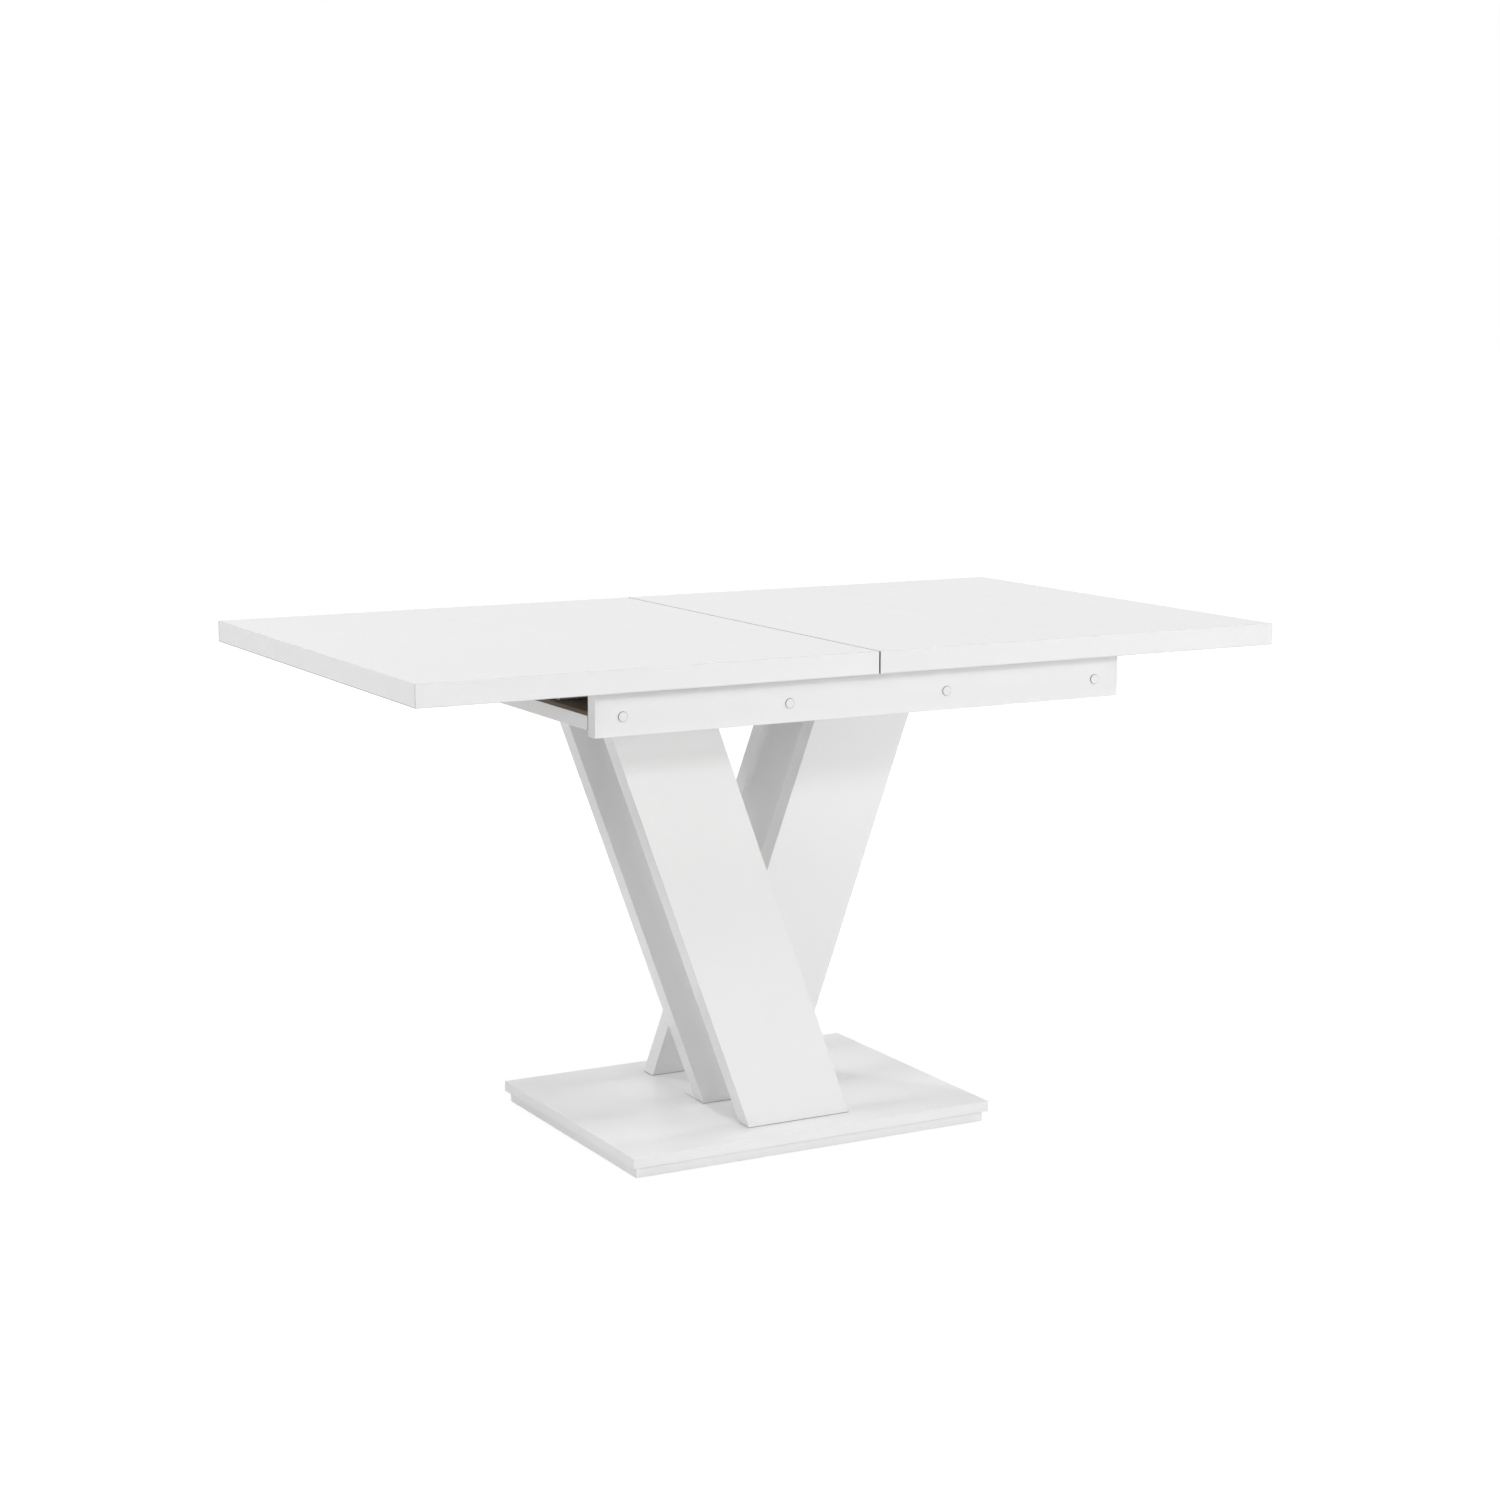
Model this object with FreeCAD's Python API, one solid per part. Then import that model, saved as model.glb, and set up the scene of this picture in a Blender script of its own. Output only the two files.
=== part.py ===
import FreeCAD, Part

import functools
import math
import os

# Extendable dining table: a two-part white top that slides apart over a boxed frame, a loose
# insert leaf stored in that frame, and a V-shaped pedestal of four leaning boards on a base plate.
# Millimetres. The origin lies on the floor under the middle of the closed top.
# X runs along the table, Y to the rear and Z up.

Vector = FreeCAD.Vector
LEFT, RIGHT = -1, 1
FRONT, REAR = -1, 1

# ---- Driving dimensions -------------------------------------------------------------------

# The table as a whole
table_length = 1390.0       # closed
table_width = 800.0
table_height = 770.0
leaf_length = 400.0         # what the insert leaf adds to the length
split_gap = 2.0             # between the two tops when closed

# Laminated board and its edging
board = 16.0                # a top, the leaf and the base are each two boards thick
band = 1.0                  # plastic edge band round a top
build_up = 120.0            # width of the strips that double a top's rim
eased_edge = 0.6            # small bevel on visible board edges

# Base and pedestal
base_length = 610.0
base_width = 460.0
base_setback = 7.0          # the lower plate's edge lies this far inside the upper one's
glide_radius = 12.0
glide_thickness = 3.0
glide_stand = 1.0           # how far a glide stands out below the base
glide_margin = 40.0         # from the lower plate's edge to a glide's centre
leg_width = 162.0           # across the board, square to its length
leg_thickness = 32.0
leg_lean = 20.15            # degrees from upright
pedestal_depth = 354.0      # over the outer faces of the outer legs

# Frame under the top
apron_length = 856.0
apron_thickness = 22.0
apron_inset = 28.0          # from the top's long edge back to the apron's face
apron_gap = 2.0             # between the apron and the sliding tops
apron_lip = 8.0             # the apron hangs this far below the shelf
end_rail = 16.0             # thickness of the rails that close the frame's ends
shelf_thickness = 20.0
leaf_headroom = 3.0         # above the stored leaf
bearer_thickness = 22.0
bearer_height = 38.0

# Slides: a C-shaped track on each bearer and a T-headed runner under each top
track_width = 20.0
track_height = 12.0
track_wall = 2.0
track_slot = 8.0
track_setback = 4.0         # from the bearer's end to the track's end
runner_length = 376.0
runner_setback = 12.0       # from the track's end to the runner's end, when closed
head_width = 12.0
head_thickness = 4.0
web_thickness = 4.0
flange_thickness = 3.0
flange_reach = 27.0         # from the track's centre inwards
shoe_length = 30.0
shoe_gap = 0.15             # running gap of the nylon shoes and guides
stop_length = 16.0
stop_width = 20.0
stop_height = 25.0
stop_inset = 23.0           # from the bearer's inner face to the stop block
stop_setback = 18.0         # from the end rail's inner face to the fixed block
stop_gap = 0.3              # left between the blocks at full travel

# Fasteners
screw_sides = 8             # fasteners have so many flat sides, to keep the model light
dowel_sides = 12
glide_sides = 16
cap_sides = 24
fit_gap = 0.1               # round a screw or dowel in its hole
dowel_play = 0.3            # round a locating dowel in the other top's hole
connector_head, connector_sink, connector_shank = 5.0, 3.5, 3.2
wood_head, wood_sink, wood_shank = 4.0, 2.6, 2.0
pan_head, pan_height = 3.5, 2.4
cap_radius, cap_thickness, cap_chamfer = 7.0, 1.2, 0.5
dowel_radius, dowel_length = 4.0, 30.0
dowel_end_gap = 1.5         # past each end of a dowel in its hole
small_dowel_radius = 3.0
apron_screw_height = 27.0   # above the apron's lower edge
apron_screw_length = 40.0
bearer_screw_length = 60.0
foot_screw_length = 70.0
leg_top_screw_length = 60.0
plate_screw_length = 28.0
track_screw_length = 18.0
runner_screw_length = 22.0

# Where fasteners sit along the table
apron_screw_spacing = 257.6
apron_screw_count = 4
bearer_screw_count = 3      # at the aprons' spacing
track_screw_spacing = 200.0
track_screw_count = 4
leg_screw_spacing = 90.0
leg_screw_count = 2         # at each end of a leg
runner_screw_spacing = 160.0
runner_screw_count = 3
runner_screw_inset = 7.0    # from the flange's inner edge
plate_screw_grid = (200.0, 110.0)
locating_dowel_spacing = 250.0
locating_dowel_count = 3
leg_dowel_heights = (60.0, 130.0)   # above the base

# ---- Levels and planes that follow ----------------------------------------------------------

base_under = glide_stand
plate_joint = base_under + board
base_top = plate_joint + board
top_under = table_height - 2 * board
strip_top = top_under + board
leaf_surface = top_under - leaf_headroom
shelf_top = leaf_surface - 2 * board
shelf_under = shelf_top - shelf_thickness
shelf_middle = shelf_under + shelf_thickness / 2
apron_low = shelf_under - apron_lip
apron_high = top_under - apron_gap
bearer_top = shelf_under + bearer_height
cap_level = apron_low + apron_screw_height

half_table = table_length / 2
half_width = table_width / 2
apron_face = half_width - apron_inset
apron_back = apron_face - apron_thickness
bearer_face = apron_back - bearer_thickness
half_apron = apron_length / 2
half_bearer = half_apron - end_rail
track_centre = (apron_back + bearer_face) / 2
half_track = half_bearer - track_setback
track_floor = bearer_top + track_wall
track_lip = bearer_top + track_height - track_wall
flange_under = top_under - flange_thickness
head_low = (track_floor + track_lip - head_thickness) / 2
head_high = head_low + head_thickness
runner_outer = half_track - runner_setback
runner_inner = runner_outer - runner_length
runner_screw_y = track_centre - flange_reach + runner_screw_inset
stop_low_y = bearer_face - stop_inset - stop_width
stop_fixed_x = half_bearer - stop_setback
travel = leaf_length / 2
stop_moving_x = stop_fixed_x - stop_length - travel - stop_gap
dowel_level = top_under + board / 2

leg_slope = math.tan(math.radians(leg_lean))
half_foot = leg_width / 2 / math.cos(math.radians(leg_lean))
leg_reach = leg_slope * (shelf_under - base_top)
half_pedestal = pedestal_depth / 2


# ---- Shapes used by several pieces ----------------------------------------------------------

def block(x, y, z):
    """A box between two values along each axis, in either order."""
    return Part.makeBox(abs(x[1] - x[0]), abs(y[1] - y[0]), abs(z[1] - z[0]),
                        Vector(min(x), min(y), min(z)))


def along_x(outline, x):
    """A closed (y, z) outline run along X."""
    corners = [Vector(min(x), y, z) for y, z in outline]
    return Part.Face(Part.makePolygon(corners + corners[:1])).extrude(Vector(abs(x[1] - x[0]), 0, 0))


def ring(radius, depth, sides):
    """A regular polygon whose flats lie at a radius."""
    corner = radius / math.cos(math.pi / sides)
    points = [Vector(corner * math.cos((2 * k + 1) * math.pi / sides),
                     corner * math.sin((2 * k + 1) * math.pi / sides), depth) for k in range(sides)]
    return Part.makePolygon(points + points[:1])


@functools.lru_cache(maxsize=None)
def faceted(stations, sides):
    """A solid along +Z with flat sides, straight between (radius, depth) stations.

    Two stations at one depth make a step.
    """
    spans = [pair for pair in zip(stations, stations[1:]) if pair[0][1] != pair[1][1]]
    parts = [Part.makeLoft([ring(*near, sides), ring(*far, sides)], True, True) for near, far in spans]
    return parts[0].fuse(parts[1:]) if len(parts) > 1 else parts[0]


def placed(stations, sides, at, toward):
    """A faceted solid that starts at a point and runs one way."""
    solid = faceted(tuple(stations), sides).copy()
    turn = FreeCAD.Rotation(Vector(0, 0, 1), Vector(*toward))
    solid.Placement = FreeCAD.Placement(Vector(*at), turn)
    return solid


def eased(shape, chosen):
    """Bevels the edges whose two ends the test accepts."""
    edges = [e for e in shape.Edges if chosen(e.firstVertex().Point, e.lastVertex().Point)]
    return shape.makeChamfer(eased_edge, edges)


def every_edge(a, b):
    return True


def cut(shape, tools):
    return shape.cut(Part.makeCompound(tools))


def same(a, b):
    return abs(a - b) < 1e-6


# ---- Fasteners --------------------------------------------------------------------------------

def countersunk(head, sink, shank, length, grow=0.0):
    """Stations of a countersunk screw, or of its hole when grown by the fit gap."""
    return [(head + grow, 0), (shank + grow, sink + grow), (shank + grow, length + grow)]


def connector(length, grow=0.0):
    return countersunk(connector_head, connector_sink, connector_shank, length, grow)


def wood_screw(length, grow=0.0):
    return countersunk(wood_head, wood_sink, wood_shank, length, grow)


def pan_screw(length, grow=0.0):
    """Measured from under the head, which lies on the face of the piece it holds."""
    head = [(pan_head, -pan_height), (pan_head, 0)] if not grow else []
    return head + [(wood_shank + grow, 0), (wood_shank + grow, length + grow)]


def fastened(stations, length, spots, toward):
    """The screws at some spots, and the holes that clear them."""
    screws = [placed(stations(length), screw_sides, at, toward) for at in spots]
    holes = [placed(stations(length, fit_gap), screw_sides, at, toward) for at in spots]
    return screws, holes


def cover_cap(at, outward):
    """A glued-on cap: a thin disc with a bevelled rim."""
    stations = [(cap_radius, 0), (cap_radius, cap_thickness - cap_chamfer),
                (cap_radius - cap_chamfer, cap_thickness)]
    return placed(stations, cap_sides, at, outward)


def dowel(radius, at, toward):
    """A plain dowel centred on a point."""
    half = dowel_length / 2
    return placed([(radius, -half), (radius, half)], dowel_sides, at, toward)


def dowel_hole(radius, at, toward, play=fit_gap):
    half = dowel_length / 2 + dowel_end_gap
    return placed([(radius + play, -half), (radius + play, half)], dowel_sides, at, toward)


def in_row(count, spacing):
    """Where the members of an evenly spaced row lie, about its middle."""
    return [(number - (count - 1) / 2) * spacing for number in range(count)]


# ---- Base ---------------------------------------------------------------------------------------

def base_plate(half_x, half_y, low, holes):
    plate = block((-half_x, half_x), (-half_y, half_y), (low, low + board))
    return cut(eased(plate, every_edge), holes)


lower_half_x = base_length / 2 - base_setback
lower_half_y = base_width / 2 - base_setback
glide_spots = [(i * (lower_half_x - glide_margin), j * (lower_half_y - glide_margin), 0)
               for i in (-1, 0, 1) for j in (-1, 1)]


def glide(at, grow=0.0):
    """A plastic disc let into the lower plate, or its seat when grown by the fit gap."""
    stations = [(glide_radius + grow, 0), (glide_radius + grow, glide_thickness + grow)]
    return placed(stations, glide_sides, at, (0, 0, 1))


glides = [glide(at) for at in glide_spots]
glide_seats = [glide(at, fit_gap) for at in glide_spots]

plate_screw_spots = [(i * plate_screw_grid[0], j * plate_screw_grid[1], base_under)
                     for i in (-1, 1) for j in (-1, 1)]
plate_screws, plate_screw_holes = fastened(wood_screw, plate_screw_length, plate_screw_spots, (0, 0, 1))

# ---- Pedestal -----------------------------------------------------------------------------------

# Each leg's lower y, and the side that it leans to.
legs = {
    "leg_front": (-half_pedestal, LEFT),
    "leg_centre_front": (-leg_thickness, LEFT),
    "leg_centre_rear": (0.0, RIGHT),
    "leg_rear": (half_pedestal - leg_thickness, RIGHT),
}

leg_end_spots = [(side, low_y + leg_thickness / 2, across)
                 for low_y, side in legs.values() for across in in_row(leg_screw_count, leg_screw_spacing)]
foot_spots = [(x, y, base_under) for side, y, x in leg_end_spots]
leg_top_spots = [(side * leg_reach + x, y, shelf_top) for side, y, x in leg_end_spots]
foot_screws, foot_holes = fastened(connector, foot_screw_length, foot_spots, (0, 0, 1))
leg_top_screws, leg_top_holes = fastened(connector, leg_top_screw_length, leg_top_spots, (0, 0, -1))

leg_dowel_spots = [(0, 0, base_top + height) for height in leg_dowel_heights]
leg_dowels = [dowel(dowel_radius, at, (0, 1, 0)) for at in leg_dowel_spots]
leg_dowel_holes = [dowel_hole(dowel_radius, at, (0, 1, 0)) for at in leg_dowel_spots]


def leg(low_y, side):
    """A board cut to a parallelogram, its ends level, its edges eased."""
    shift = side * leg_reach
    corners = [(-half_foot, base_top), (half_foot, base_top),
               (half_foot + shift, shelf_under), (-half_foot + shift, shelf_under)]
    outline = [Vector(x, low_y, z) for x, z in corners]
    solid = Part.Face(Part.makePolygon(outline + outline[:1])).extrude(Vector(0, leg_thickness, 0))
    return cut(eased(solid, every_edge), foot_holes + leg_top_holes + leg_dowel_holes)


# ---- Frame --------------------------------------------------------------------------------------

apron_screw_x = in_row(apron_screw_count, apron_screw_spacing)
bearer_screw_x = in_row(bearer_screw_count, apron_screw_spacing)
track_screw_x = in_row(track_screw_count, track_screw_spacing)
rail_dowel_x = half_apron - end_rail / 2


def side_fasteners(side):
    """The screws and holes of one long side of the frame."""
    inward = (0, -side, 0)
    out = {}
    out["apron"] = fastened(connector, apron_screw_length,
                            [(x, side * apron_face, cap_level) for x in apron_screw_x], inward)
    out["bearer"] = fastened(connector, bearer_screw_length,
                             [(x, side * apron_back, shelf_middle) for x in bearer_screw_x], inward)
    out["track"] = fastened(wood_screw, track_screw_length,
                            [(x, side * track_centre, track_floor) for x in track_screw_x], (0, 0, -1))
    return out


fasteners = {side: side_fasteners(side) for side in (FRONT, REAR)}


def holes_of(kind):
    return fasteners[FRONT][kind][1] + fasteners[REAR][kind][1]


def screws_of(kind):
    return fasteners[FRONT][kind][0] + fasteners[REAR][kind][0]


caps = [cover_cap((x, side * apron_face, cap_level), (0, side, 0))
        for side in (FRONT, REAR) for x in apron_screw_x]

rail_dowel_spots = [(i * rail_dowel_x, j * apron_back, shelf_middle) for i in (-1, 1) for j in (-1, 1)]
rail_dowels = [dowel(small_dowel_radius, at, (0, 1, 0)) for at in rail_dowel_spots]
rail_dowel_holes = [dowel_hole(small_dowel_radius, at, (0, 1, 0)) for at in rail_dowel_spots]


def apron(side):
    depth = (side * apron_back, side * apron_face)
    solid = block((-half_apron, half_apron), depth, (apron_low, apron_high))
    solid = eased(solid, lambda a, b: not same(a.z, b.z) or same(a.z, apron_low))
    return cut(solid, fasteners[side]["apron"][1] + rail_dowel_holes)


def end_rail_piece(side):
    length = (side * half_bearer, side * half_apron)
    solid = block(length, (-apron_back, apron_back), (shelf_under, shelf_top))
    return cut(eased(solid, every_edge), rail_dowel_holes)


def shelf():
    solid = block((-half_bearer, half_bearer), (-bearer_face, bearer_face), (shelf_under, shelf_top))
    return cut(solid, leg_top_holes + holes_of("bearer"))


def bearer(side):
    depth = (side * bearer_face, side * apron_back)
    solid = block((-half_bearer, half_bearer), depth, (shelf_under, bearer_top))
    return cut(solid, [hole for kind in fasteners[side].values() for hole in kind[1]])


def track(side):
    """A C-shaped extrusion, open upwards, whose lips hold the runner's head down."""
    w, s = track_width / 2, track_slot / 2
    low, high = bearer_top, bearer_top + track_height
    outline = [(-w, low), (w, low), (w, high), (s, high), (s, track_lip), (w - track_wall, track_lip),
               (w - track_wall, track_floor), (track_wall - w, track_floor), (track_wall - w, track_lip),
               (-s, track_lip), (-s, high), (-w, high)]
    solid = along_x([(side * (track_centre + y), z) for y, z in outline], (-half_track, half_track))
    return cut(solid, fasteners[side]["track"][1])


def stop_block(x, side_x, side_y, low):
    """A beech block, its outer end at x, that the block on the other part meets at full travel."""
    return block((side_x * x, side_x * (x - stop_length)),
                 (side_y * stop_low_y, side_y * (stop_low_y + stop_width)), (low, low + stop_height))


# ---- Tops and leaf ------------------------------------------------------------------------------

def panel(x, holes):
    """A doubled top: a board, the four strips under its rim and the four bands round its edge."""
    x0, x1 = min(x), max(x)
    y1 = half_width - band
    rim = build_up
    top = block((x0 + band, x1 - band), (-y1, y1), (strip_top, table_height))
    strips = [block((x0 + band, x1 - band), (side * y1, side * (y1 - rim)), (top_under, strip_top))
              for side in (FRONT, REAR)]
    strips += [block((x0 + band, x0 + band + rim), (rim - y1, y1 - rim), (top_under, strip_top)),
               block((x1 - band, x1 - band - rim), (rim - y1, y1 - rim), (top_under, strip_top))]
    bands = []
    for side in (FRONT, REAR):
        edge = side * half_width
        long_band = block((x0, x1), (edge, side * y1), (top_under, table_height))
        bands.append(eased(long_band, lambda a, b: same(a.y, edge) and same(b.y, edge)))
    for edge, inner in ((x0, x0 + band), (x1, x1 - band)):
        end_band = block((edge, inner), (-y1, y1), (top_under, table_height))
        bands.append(eased(end_band, lambda a, b: same(a.x, edge) and same(b.x, edge) and same(a.z, b.z)))
    return [top.cut(holes)], [strip.cut(holes) for strip in strips], [edging.cut(holes) for edging in bands]


locating_y = in_row(locating_dowel_count, locating_dowel_spacing)


def locating_dowels(x):
    """Dowels that stand half out of an edge and centre the next panel."""
    return [dowel(dowel_radius, (x, y, dowel_level), (1, 0, 0)) for y in locating_y]


def locating_holes(x, play):
    return [dowel_hole(dowel_radius, (x, y, dowel_level), (1, 0, 0), play) for y in locating_y]


def runner(side_x, side_y):
    """A T-headed extrusion; its flange is screwed under a top, its head runs in the track."""
    h, w = head_width / 2, web_thickness / 2
    outline = [(-h, head_low), (h, head_low), (h, head_high), (w, head_high), (w, top_under),
               (-flange_reach, top_under), (-flange_reach, flange_under), (-w, flange_under),
               (-w, head_high), (-h, head_high)]
    return along_x([(side_y * (track_centre + y), z) for y, z in outline],
                   (side_x * runner_outer, side_x * runner_inner))


def clip(x, side_x, side_y, outer_gap, inner_gap):
    """A nylon clip between track and runner head, its outer end at x, open along the runner's web."""
    a = track_width / 2 - track_wall - outer_gap
    h, w = head_width / 2 + inner_gap, web_thickness / 2 + inner_gap
    low, high = track_floor + outer_gap, track_lip - outer_gap
    under, over = head_low - inner_gap, head_high + inner_gap
    outline = [(-a, low), (a, low), (a, high), (w, high), (w, over), (h, over), (h, under),
               (-h, under), (-h, over), (-w, over), (-w, high), (-a, high)]
    return along_x([(side_y * (track_centre + y), z) for y, z in outline],
                   (side_x * x, side_x * (x - shoe_length)))


track_guides = [clip(half_track, i, j, 0.0, shoe_gap) for i in (LEFT, RIGHT) for j in (FRONT, REAR)]
runner_middle = (runner_outer + runner_inner) / 2


def moving_top(side_x):
    """One half of the top with everything that slides with it."""
    spots = [(side_x * (runner_middle + along), side_y * runner_screw_y, flange_under)
             for along in in_row(runner_screw_count, runner_screw_spacing) for side_y in (FRONT, REAR)]
    screws, holes = fastened(pan_screw, runner_screw_length, spots, (0, 0, 1))
    edge = side_x * split_gap / 2
    mating = locating_holes(split_gap / 2, dowel_play if side_x == LEFT else fit_gap)
    made = {}
    made["board"], made["strips"], made["bands"] = panel((side_x * half_table, edge), holes + mating)
    for name, side_y in (("front", FRONT), ("rear", REAR)):
        made["runner_" + name] = [runner(side_x, side_y).cut(holes)]
    made["runner_screws"] = screws
    made["shoes"] = [clip(runner_inner + shoe_length, side_x, side_y, shoe_gap, 0.0)
                     for side_y in (FRONT, REAR)]
    made["stops"] = [stop_block(stop_moving_x, side_x, side_y, top_under - stop_height)
                     for side_y in (FRONT, REAR)]
    return made


def stored_leaf():
    """The insert leaf, made as it lies in use, then given a quarter turn and laid in the frame."""
    half = leaf_length / 2
    entry = locating_holes(half, dowel_play)
    pins = locating_dowels(-half)
    pin_holes = locating_holes(-half, fit_gap)
    pieces = [*panel((-half, half), entry + pin_holes), pins]
    for group in pieces:
        for solid in group:
            solid.rotate(Vector(0, 0, 0), Vector(0, 0, 1), 90)
            solid.translate(Vector(0, 0, leaf_surface - table_height))
    return dict(zip(("board", "strips", "bands", "dowels"), pieces))


# ---- All nodes ----------------------------------------------------------------------------------

nodes = {
    "floor_glides": glides,
    "base_plate_lower": [base_plate(lower_half_x, lower_half_y, base_under,
                                    glide_seats + plate_screw_holes + foot_holes)],
    "base_plate_upper": [base_plate(base_length / 2, base_width / 2, plate_joint,
                                    plate_screw_holes + foot_holes)],
    "base_plate_screws": plate_screws,
    "leg_foot_screws": foot_screws,
    "leg_top_screws": leg_top_screws,
    "leg_centre_dowels": leg_dowels,
    "shelf": [shelf()],
    "end_rail_left": [end_rail_piece(LEFT)],
    "end_rail_right": [end_rail_piece(RIGHT)],
    "end_rail_dowels": rail_dowels,
    "apron_front": [apron(FRONT)],
    "apron_rear": [apron(REAR)],
    "apron_screws": screws_of("apron"),
    "apron_screw_caps": caps,
    "bearer_front": [bearer(FRONT)],
    "bearer_rear": [bearer(REAR)],
    "bearer_screws": screws_of("bearer"),
    "track_front": [track(FRONT)],
    "track_rear": [track(REAR)],
    "track_screws": screws_of("track"),
    "track_guides": track_guides,
    "frame_stop_blocks": [stop_block(stop_fixed_x, i, j, shelf_top) for i in (LEFT, RIGHT)
                          for j in (FRONT, REAR)],
}
for name, (low_y, side) in legs.items():
    nodes[name] = [leg(low_y, side)]

for name, side in (("left", LEFT), ("right", RIGHT)):
    half = moving_top(side)
    for piece, solids in half.items():
        nodes["top_" + name + "_" + piece] = solids
nodes["top_right_dowels"] = locating_dowels(split_gap / 2)
for piece, solids in stored_leaf().items():
    nodes["leaf_" + piece] = solids

os.makedirs("parts", exist_ok=True)
for name, solids in nodes.items():
    shape = solids[0] if len(solids) == 1 else Part.makeCompound(solids)
    shape.exportStep("parts/" + name + ".step")
print(len(nodes), "nodes,", sum(len(solids) for solids in nodes.values()), "solids")
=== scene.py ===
import math

import bmesh
import bpy
from mathutils import Euler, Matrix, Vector


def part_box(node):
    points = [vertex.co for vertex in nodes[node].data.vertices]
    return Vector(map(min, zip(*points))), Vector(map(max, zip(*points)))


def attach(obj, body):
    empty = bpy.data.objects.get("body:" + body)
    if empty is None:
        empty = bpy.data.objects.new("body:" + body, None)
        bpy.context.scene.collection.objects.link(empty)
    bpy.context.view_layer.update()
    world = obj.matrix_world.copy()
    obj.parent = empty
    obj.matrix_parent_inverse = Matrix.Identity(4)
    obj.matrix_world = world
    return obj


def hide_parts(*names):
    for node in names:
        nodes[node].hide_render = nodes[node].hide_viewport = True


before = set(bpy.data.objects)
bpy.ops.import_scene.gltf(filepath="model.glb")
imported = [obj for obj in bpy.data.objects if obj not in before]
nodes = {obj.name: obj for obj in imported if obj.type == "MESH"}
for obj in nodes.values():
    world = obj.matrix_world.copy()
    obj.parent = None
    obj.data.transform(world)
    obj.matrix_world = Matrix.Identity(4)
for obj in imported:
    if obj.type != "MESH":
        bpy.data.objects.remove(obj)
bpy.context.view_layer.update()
scene = bpy.context.scene

# ---- Studio ---------------------------------------------------------------------------------------
# A white product studio: a pale floor that runs into a white surround, and eight soft lamps round
# the table, two of them low in front. Nothing here is part of the object.

scene.view_settings.view_transform = "Standard"

CAMERA_PLACE = (-2.0202, -3.7198, 1.2659)
CAMERA_YAW = 0.4999
CAMERA_PITCH = 0.1623       # downwards
SENSOR_WIDTH = 36.0
FOCAL_LENGTH = 67.22
camera_data = bpy.data.cameras.new("camera")
camera_data.sensor_width = SENSOR_WIDTH
camera_data.lens = FOCAL_LENGTH
camera = bpy.data.objects.new("camera", camera_data)
camera.location = CAMERA_PLACE
camera.rotation_euler = Euler((math.pi / 2 - CAMERA_PITCH, 0, -CAMERA_YAW))
scene.collection.objects.link(camera)
scene.camera = camera


def lamp(name, place, aim, width, height, power):
    """A rectangular soft lamp that faces a point, and doesn't show itself in the gloss."""
    data = bpy.data.lights.new(name, "AREA")
    data.shape = "RECTANGLE"
    data.size, data.size_y = width, height
    data.energy = power
    made = bpy.data.objects.new(name, data)
    made.location = place
    made.rotation_euler = (Vector(aim) - Vector(place)).to_track_quat("-Z", "Y").to_euler()
    scene.collection.objects.link(made)
    made.visible_glossy = False
    return made


TABLE_MIDDLE = (0, 0, 0.45)
lamp("low_front_lamp", (0, -4.99, 0.80), TABLE_MIDDLE, 0.9, 0.6, 28.0)
lamp("front_lamp", (-0.75, -4.50, 2.47), TABLE_MIDDLE, 0.5, 0.5, 34.0)
lamp("low_corner_lamp", (3.54, -3.42, 1.32), TABLE_MIDDLE, 0.4, 0.4, 25.0)
lamp("right_corner_lamp", (4.16, -2.40, 1.83), TABLE_MIDDLE, 0.9, 0.9, 40.0)
lamp("right_lamp", (4.24, 0, 3.10), TABLE_MIDDLE, 0.9, 0.9, 45.0)
lamp("back_lamp", (-1.11, 3.83, 3.47), TABLE_MIDDLE, 0.5, 0.5, 49.0)
lamp("left_lamp", (-4.24, 0, 3.10), TABLE_MIDDLE, 0.9, 0.9, 57.0)
lamp("high_left_lamp", (-2.18, -2.18, 4.39), TABLE_MIDDLE, 0.9, 0.9, 29.0)


def seen_directly(tree):
    """1 for camera, glossy and transmission rays, which see the white surround as it is."""
    path = tree.nodes.new("ShaderNodeLightPath")
    total = path.outputs["Is Camera Ray"]
    for ray in ("Is Glossy Ray", "Is Transmission Ray"):
        larger = tree.nodes.new("ShaderNodeMath")
        larger.operation = "MAXIMUM"
        tree.links.new(total, larger.inputs[0])
        tree.links.new(path.outputs[ray], larger.inputs[1])
        total = larger.outputs[0]
    return total


SURROUND_LIGHT = 0.27
world = bpy.data.worlds.new("surround")
world.use_nodes = True
scene.world = world
sky = world.node_tree
plain = sky.nodes["Background"]
plain.inputs["Color"].default_value = (1, 1, 1, 1)
plain.inputs["Strength"].default_value = SURROUND_LIGHT
white = sky.nodes.new("ShaderNodeBackground")
white.inputs["Color"].default_value = (1, 1, 1, 1)
white.inputs["Strength"].default_value = 1.0
choice = sky.nodes.new("ShaderNodeMixShader")
sky.links.new(seen_directly(sky), choice.inputs[0])
sky.links.new(plain.outputs[0], choice.inputs[1])
sky.links.new(white.outputs[0], choice.inputs[2])
sky.links.new(choice.outputs[0], sky.nodes["World Output"].inputs["Surface"])

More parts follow.
